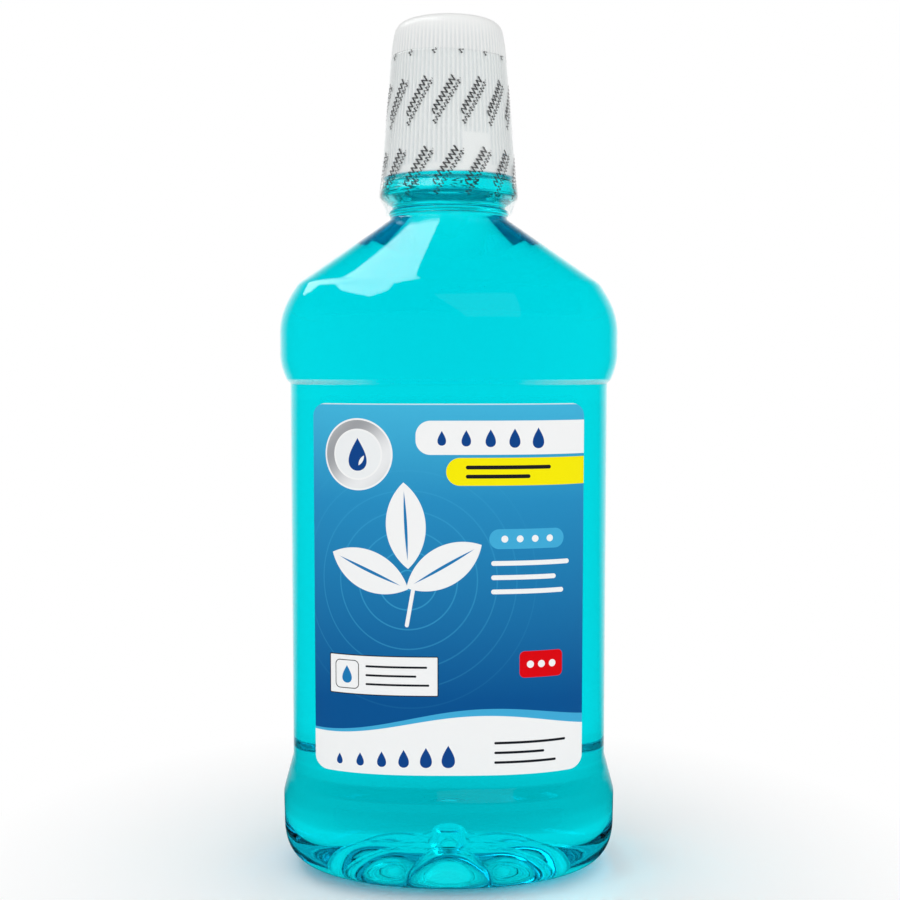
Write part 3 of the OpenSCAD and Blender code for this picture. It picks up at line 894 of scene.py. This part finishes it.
def paint_banner(sheet, at):
    """A white band over a yellow one that run to the label's edge, with drops and dark rules."""
    left, middle = at
    inside = inked((sheet.u - left) * -1.0)
    sheet.ink(YELLOW, inked(sheet.bar((left + 57, middle - 3.9), 100, 6.4, 3.2)) * inside)
    sheet.ink(WHITE, inked(sheet.bar((left + 50, middle + 3.9), 100, 7.8, 3.4)) * inside)
    for i in range(5):
        sheet.shape(DEEP, sheet.drop((left + 6.0 + 5.6 * i, middle + 3.8), 3.4 + 0.35 * i))
    sheet.shape(INK, sheet.rules((left + 11.5, middle - 2.9), (20, 15), 2.1, 0.9))


def paint_box(sheet, at):
    """A white panel in a thin frame, with a drop in an outlined tile and fine rules."""
    panel, tile_at = sheet.bar(at, 26, 9.2, 0.3), (at[0] - 8.6, at[1])
    tile = sheet.bar(tile_at, 5.8, 6.6, 1.1)
    sheet.shape(WHITE, panel)
    sheet.shape(INK, panel.size() - 0.12)
    sheet.shape(INK, tile.size() - 0.1)
    sheet.shape(BLUE_INK, sheet.drop(tile_at, 4.2))
    sheet.shape(INK, sheet.rules((at[0] - 4.0, at[1] + 2.1), (14.5, 12.0, 15.0), 2.1, 0.5))


def paint_shore(sheet):
    """The white foot of the label behind a wave, with a row of growing drops and fine rules."""
    swell = ((sheet.u / LABEL_W + 0.18) * (2 * math.pi * 0.8)).do("SINE")
    shore = sheet.v - LABEL_H * 0.135 - swell * 2.4
    sheet.shape(PALE, shore - 1.4 - (sheet.u / LABEL_W) * 1.6)
    sheet.shape(WHITE, shore)
    for i in range(6):
        size = 2.6 + 0.55 * i
        sheet.shape(DEEP, sheet.drop((-LABEL_W / 2 + 5.5 + 5.2 * i, 1.8 + size / 2), size))
    sheet.shape(INK, sheet.rules((LABEL_W / 2 - 21, 7.6), (17.5, 12.0, 15.0), 2.3, 0.6))


def paint_patch(sheet, at, colour, size, first, pitch, radii):
    """A rounded patch of width, height and corner size, with a row of white discs that starts
    first left of its middle."""
    sheet.shape(colour, sheet.bar(at, *size))
    sheet.shape(WHITE, sheet.beads((at[0] - first, at[1]), pitch, radii))


def label_material():
    """Printed film: blue shading downwards, a sprig over rings, a white foot behind a wave, a
    banner, a badge, a pill, a framed panel and a tag, with plain drops, discs and rules."""
    material, tree, output = new_material("printed_label")
    sheet = Print(tree)
    sheet.colour = blue_field(sheet)
    paint_sprig(sheet, on_label(-0.15, 0.53))
    paint_shore(sheet)
    paint_banner(sheet, on_label(-0.12, 0.865))
    paint_badge(sheet, on_label(-0.335, 0.865))
    paint_patch(sheet, on_label(0.29, 0.64), PALE, (18, 4.6, 2.3), 5.4, 3.6, (0.8,) * 4)
    sheet.shape(WHITE, sheet.rules(on_label(0.155, 0.575), (19, 15.5, 17.5), 3.3, 1.1))
    paint_box(sheet, on_label(-0.245, 0.27))
    paint_patch(sheet, on_label(0.345, 0.30), RED, (10.6, 6.2, 1.2), 2.7, 2.7, (0.85,) * 3)
    shader = principled(tree, output, Roughness=LABEL_ROUGHNESS, Specular_IOR_Level=0.06)
    tree.links.new(sheet.colour, shader.inputs["Base Color"])
    grain = bump_from_noise(tree, shader, LABEL_GRAIN, LABEL_GRAIN_H)
    vary(tree, grain, 0.32, 0.46, shader.inputs["Roughness"])
    return material


# Other materials
def clear_material():
    """Clear blown polyester, with the faint waves of a blown wall, and a painted glint: white matt
    mixed in along the ledge, more towards the sides."""
    material, tree, output = new_material("clear_polyester")
    shader = node(
        tree, "ShaderNodeBsdfPrincipled",
        Base_Color=(0.99, 1.0, 1.0, 1), Roughness=0.0, IOR=1.4, Transmission_Weight=1.0,
    )
    bump_from_noise(tree, shader, 28.0, 0.02, 2.0, (1, 1, 0.35))
    x, _, z = axes(tree, coordinates(tree))
    # Painted glint: white matt mixed into the clear wall along the panel's ledge, growing towards
    # the sides
    on_ledge = ((z / MM - LIP_Z - LEDGE / 2).size() * -4.0 + (LEDGE * 2.0 + 1.0)).clamped()
    to_sides = ((x.size() / MM - GLINT_FROM) / GLINT_OVER).clamped()
    painted_glint = node(tree, "ShaderNodeBsdfDiffuse", Color=(1, 1, 1, 1))
    with_glint = mix_shaders(tree, on_ledge * to_sides * LEDGE_GLINT, shader.outputs[0], painted_glint.outputs[0])
    tree.links.new(with_glint, output.inputs["Surface"])
    return material


def rinse_material():
    """Clear teal liquid: colour comes from depth, by absorption."""
    material, tree, output = new_material("teal_liquid")
    principled(
        tree, output, Base_Color=(1, 1, 1, 1), Roughness=0.0, IOR=1.34, Transmission_Weight=1.0
    )
    inside = node(
        tree, "ShaderNodeVolumeAbsorption", Color=(0.0, 0.9745, 0.9845, 1), Density=220.0
    )
    tree.links.new(inside.outputs[0], output.inputs["Volume"])
    return material


def cap_material():
    """White moulded polypropylene: satin, faintly translucent, with painted shade in the grooves
    between the ribs, and a fine mould texture."""
    material, tree, output = new_material("white_polypropylene")
    shader = principled(
        tree, output, Roughness=0.34, IOR=1.49,
        Subsurface_Weight=0.2, Subsurface_Radius=(1, 1, 1), Subsurface_Scale=0.8 * MM,
    )
    x, y, z = axes(tree, coordinates(tree))
    angle, up = y.do("ARCTAN2", x), z / MM
    ridge = (angle * RIBS).do("COSINE") * 0.5 + 0.5
    half_turns = (angle * (180 / math.pi) + (90 - PAD_TURN)) / 180
    off_pad = (half_turns.do("FRACT") * 180 - 90).size()
    on_pad = ((off_pad - PAD_HALF_DEG) * -0.5).clamped()
    on_pad = on_pad.least(((up - RIM_Z - PAD_H) * -1.5).clamped())
    on_rim = ((up - RIM_Z - RIM_BAND) * -1.5).clamped()
    on_top = ((up - CAP_TOP_Z + 6) / 5).clamped()
    # Painted shade: the grooves between the ribs get a greyer colour; ridges, pads, rim band and
    # top keep the paler one
    unshaded = ridge.most(on_pad.most(on_rim).most(on_top))
    colour = paint(tree, (0.80, 0.825, 0.83), (0.915, 0.925, 0.915), unshaded)
    tree.links.new(colour, shader.inputs["Base Color"])
    texture = bump_from_noise(tree, shader, 700.0, 0.01)
    vary(tree, texture, 0.28, 0.42, shader.inputs["Roughness"])
    return material


def seal_material():
    """Closed-cell foam: matt, with small cells."""
    material, tree, output = new_material("seal_foam")
    shader = principled(tree, output, Base_Color=(0.80, 0.80, 0.74, 1), Roughness=0.8)
    cells = node(tree, "ShaderNodeTexVoronoi", Scale=2500.0)
    tree.links.new(coordinates(tree), cells.inputs["Vector"])
    bump(tree, shader, cells.outputs["Distance"], 0.06)
    vary(tree, cells.outputs["Distance"], 0.7, 0.95, shader.inputs["Roughness"])
    return material


# Marks on the neckband: lines as place across, swing, period and thickness, with half their
# length, and ticks as place across, period, width and height
MARK_COLUMNS, MARK_ROW_H, MARK_FOOT, MARK_SLANT, MARK_STAGGER = 14, 16.4, 7.5, 57, 0.08
BOLD_LINE, BOLD_HALF = (0.95, 0.5, 1.15, 0.34), 5.0
FINE_LINE, FINE_HALF, FINE_SHIFT = (-0.75, 0.36, 0.92, 0.16), 6.2, 0.6
TICKS = (-0.75, 1.84, 0.2, 1.3)
MARK_SHARE = 0.85


def wavy_line(along, across, at, swing, period, thick):
    """A wavy band along a line, and thicker where it climbs."""
    wave = (along * (2 * math.pi / period)).do("SINE") * swing
    climb = (along * (2 * math.pi / period)).do("COSINE").most(0.0) * (thick * 0.9)
    return ((across - at - wave).size() - climb) * 0.55 - thick / 2


def ticks(along, across, at, period, width, height):
    """Short strokes across a line, one in each period."""
    off = ((along / period).do("FRACT") - 0.5).size() * period
    return (off - width / 2).most((across - at).size() - height / 2)


def film_material():
    """Clear shrink film with small dark slanted marks in staggered rows: a bold wavy line beside
    a fine one with ticks."""
    material, tree, output = new_material("shrink_film")
    x, y, z = axes(tree, coordinates(tree))
    turn = y.do("ARCTAN2", x) / (2 * math.pi) * MARK_COLUMNS
    height = (z / MM - RIM_Z + MARK_FOOT) / MARK_ROW_H
    row = height.do("FLOOR")
    pitch = 2 * math.pi * CAP_R / MARK_COLUMNS
    u = ((turn + row * MARK_STAGGER).do("FRACT") - 0.5) * pitch
    v = (height - row - 0.5) * MARK_ROW_H
    slanted = Plane(u, v).turned((0, 0), MARK_SLANT)
    along, across = slanted.u, slanted.v
    bold = wavy_line(along, across, *BOLD_LINE).most(along.size() - BOLD_HALF)
    fine = wavy_line(along, across, *FINE_LINE).least(ticks(along, across, *TICKS))
    fine = fine.most((along + FINE_SHIFT).size() - FINE_HALF)
    mark = inked(bold.least(fine))
    film, gloss, outside = clear_sheet(tree, (0.995, 1.0, 1.0, 1), 0.07, 1.35)
    bump_from_noise(tree, gloss, 160.0, 0.04, 2.0, (1, 1, 0.2))
    ink = node(tree, "ShaderNodeBsdfPrincipled", Base_Color=(0.03, 0.03, 0.035, 1), Roughness=0.4)
    marked = mix_shaders(tree, mark * outside * MARK_SHARE, film, ink.outputs[0])
    tree.links.new(marked, output.inputs["Surface"])
    return material


# Studio: the camera's place and nearest sight, its pitch in degrees, lens and shift
CAMERA_BACK, CAMERA_UP, CAMERA_ASIDE, CAMERA_NEAR = 334.1, 124.1, 0.3, 10
CAMERA_PITCH, CAMERA_LENS, CAMERA_SENSOR, CAMERA_SHIFT = 4.16, 54.02, 36, 0.0172
# Light of the world on matt surfaces, and how it leans along each axis
AMBIENT, LIGHT_LEAN = 0.85, (0.12, -0.22, 0.0)
# What is seen straight or through clear pieces: white that dims to ZENITH straight up
ZENITH_FROM, ZENITH = 0.45, 0.5
# What surfaces mirror: white behind the bottle, dim in front of it and above; and deep in the
# liquid, after WALL_CROSSINGS, nearly white all round. Rises are shares of direction
WALL_RISE, WALL_TOP, DIM_STUDIO = (0.6, 0.92), (0.6, 0.3), 0.01
DEEP_RISE, DIM_DEEP, WALL_CROSSINGS = (-0.6, 0.3), 0.9, 4.5
# Floor: where it fades to white, and how bright it shows in and through the bottle; seen through
# the glass, its glow near the bottle is dimmed, a painted shadow
FLOOR_HALF, FLOOR_DROP, FLOOR_NEAR, FLOOR_FAR = 3000.0, 0.05, 50.0, 130.0
FLOOR_SHADOW_IN_GLASS, DEEP_FLOOR, WALL_NEAR = 0.66, 0.9, 120.0
# Softboxes: a long one up at the left, made of two lamps, and a small one in front
SIDE_AT, SIDE_SIZE, SIDE_TURN, SIDE_GLOSS, SIDE_MATT = (-475, 180, 750), (300, 1170), 30, 3.1, 1.3
FRONT_AT, FRONT_SIZE, FRONT_GLOW, FRONT_AIM = (115, -480, 540), (230, 380), 0.1, (0, 0, 140)


def make_camera():
    camera = bpy.data.cameras.new("camera")
    camera.lens, camera.sensor_width = CAMERA_LENS, CAMERA_SENSOR
    camera.shift_y = CAMERA_SHIFT
    camera.clip_start = CAMERA_NEAR * MM
    obj = bpy.data.objects.new("camera", camera)
    obj.location = Vector((CAMERA_ASIDE, -CAMERA_BACK, CAMERA_UP)) * MM
    obj.rotation_euler = (math.radians(90 - CAMERA_PITCH), 0, 0)
    bpy.context.scene.collection.objects.link(obj)
    bpy.context.scene.camera = obj


def ray_kinds(tree):
    """Four shares of a ray: seen straight or through glass, mirrored by a surface, mirrored deep
    inside the liquid, and lighting."""
    light = tree.nodes.new("ShaderNodeLightPath").outputs
    seen = Num(tree, light["Is Camera Ray"]).most(Num(tree, light["Is Glossy Ray"]))
    seen = seen.most(Num(tree, light["Is Transmission Ray"]))
    bounced = seen * Num(tree, light["Glossy Depth"]).least(1.0)
    crossed = Num(tree, light["Transmission Depth"]).do("GREATER_THAN", WALL_CROSSINGS)
    deep = bounced * crossed
    return seen - bounced, bounced - deep, deep, seen.rest()


def studio_wall(direction, dimmest, start, full):
    """From dimmest at start to 1 at full."""
    return ((direction - start) / (full - start)).clamped() * (1 - dimmest) + dimmest


def make_world():
    """White behind the bottle for what is seen in or through it; soft light, stronger from the
    front and the right."""
    world = bpy.data.worlds.new("studio")
    bpy.context.scene.world = world
    world.use_nodes = True
    tree = world.node_tree
    tree.nodes.clear()
    output = tree.nodes.new("ShaderNodeOutputWorld")
    x, y, z = axes(tree, coordinates(tree, "Generated"))
    through, mirrored, deep, lighting = ray_kinds(tree)
    ambient = x * LIGHT_LEAN[X] + y * LIGHT_LEAN[Y] + z * LIGHT_LEAN[Z] + AMBIENT
    overhead = ((z - ZENITH_FROM) / (1 - ZENITH_FROM)).clamped() * (ZENITH - 1) + 1.0
    wall = studio_wall(y, DIM_STUDIO, *WALL_RISE) * studio_wall(z, DIM_STUDIO, *WALL_TOP)
    far_side = studio_wall(y, DIM_DEEP, *DEEP_RISE)
    strength = through * overhead + mirrored * wall + deep * far_side + lighting * ambient
    studio = node(tree, "ShaderNodeBackground", Color=(1, 1, 1, 1))
    tree.links.new(strength.socket, studio.inputs["Strength"])
    tree.links.new(studio.outputs[0], output.inputs[0])


def make_floor():
    """A pale floor that keeps the bottle's shadow and fades to white further out; seen through the
    glass, its glow near the bottle is dimmed as a painted shadow.
    """
    corners = np.array([(-1, -1, 0), (1, -1, 0), (1, 1, 0), (-1, 1, 0)]) * FLOOR_HALF
    floor = mesh_object("floor", corners - [0, 0, FLOOR_DROP], [(0, 1, 2, 3)])
    material, tree, output = new_material("floor")
    x, y, _ = axes(tree, coordinates(tree))
    through, mirrored, deep, _ = ray_kinds(tree)
    crossings = tree.nodes.new("ShaderNodeLightPath").outputs["Transmission Depth"]
    in_glass = Num(tree, crossings).least(1.0)
    out = (x * x + y * y).do("SQRT") + MM
    # Painted shadow: seen through the glass, the floor near the bottle glows dimmer
    near_glow_with_painted_shadow = in_glass * (FLOOR_SHADOW_IN_GLASS - 1) + 1.0
    far = ((out - FLOOR_NEAR * MM) / ((FLOOR_FAR - FLOOR_NEAR) * MM)).clamped()
    wall = studio_wall(y / out, DIM_STUDIO, *WALL_RISE)
    far_side = studio_wall(y, DEEP_FLOOR, -WALL_NEAR * MM, WALL_NEAR * MM)
    glow = through * (near_glow_with_painted_shadow + near_glow_with_painted_shadow.rest() * far) + mirrored * wall + deep * far_side
    plain = node(tree, "ShaderNodeBsdfDiffuse", Color=(0.97, 0.97, 0.97, 1))
    white = tree.nodes.new("ShaderNodeEmission")
    tree.links.new(glow.socket, white.inputs["Strength"])
    share = ((through + deep) * far).most(through * in_glass).most(mirrored)
    surface = mix_shaders(tree, share, plain.outputs[0], white.outputs[0])
    tree.links.new(surface, output.inputs["Surface"])
    floor.data.materials.append(material)


def make_softbox(name, at, size, glow, target, turn=0, matt=True, gloss=True):
    """An area lamp of an even glow, 1 being as bright as the white background, that lights matt
    surfaces, shows in glossy and clear ones, or both."""
    lamp = bpy.data.lights.new(name, "AREA")
    lamp.shape, lamp.size, lamp.size_y = "RECTANGLE", size[0] * MM, size[1] * MM
    lamp.energy = glow * math.pi * lamp.size * lamp.size_y
    obj = bpy.data.objects.new(name, lamp)
    obj.location = Vector(at) * MM
    obj.rotation_euler = (Vector(target) - Vector(at)).to_track_quat("-Z", "Y").to_euler()
    obj.rotation_euler.z += math.radians(turn)
    obj.visible_diffuse, obj.visible_glossy, obj.visible_transmission = matt, gloss, gloss
    bpy.context.scene.collection.objects.link(obj)


def set_light_paths():
    """Enough bounces for light to find its way through wall, liquid and film, and glass that
    stays clear at every bounce."""
    cycles = bpy.context.scene.cycles
    cycles.max_bounces, cycles.transmission_bounces = 40, 40
    cycles.glossy_bounces, cycles.transparent_max_bounces = 16, 40
    cycles.blur_glossy = 0.0


def main():
    make_bottle(clear_material())
    make_rinse(rinse_material())
    make_label("printed_front_label", "front_label", 1, label_material())
    make_label("printed_back_label", "back_label", -1, back_label_material())
    make_cap(cap_material())
    make_seal(seal_material())
    make_neckband(film_material())
    make_world()
    make_floor()
    below = (*SIDE_AT[:2], 0)
    make_softbox("softbox_overhead", SIDE_AT, SIDE_SIZE, SIDE_GLOSS, below, SIDE_TURN, matt=False)
    make_softbox("softbox_diffused", SIDE_AT, SIDE_SIZE, SIDE_MATT, below, SIDE_TURN, gloss=False)
    make_softbox("softbox_front", FRONT_AT, FRONT_SIZE, FRONT_GLOW, FRONT_AIM)
    make_camera()
    set_light_paths()
    bpy.context.scene.view_settings.view_transform = "Standard"


main()
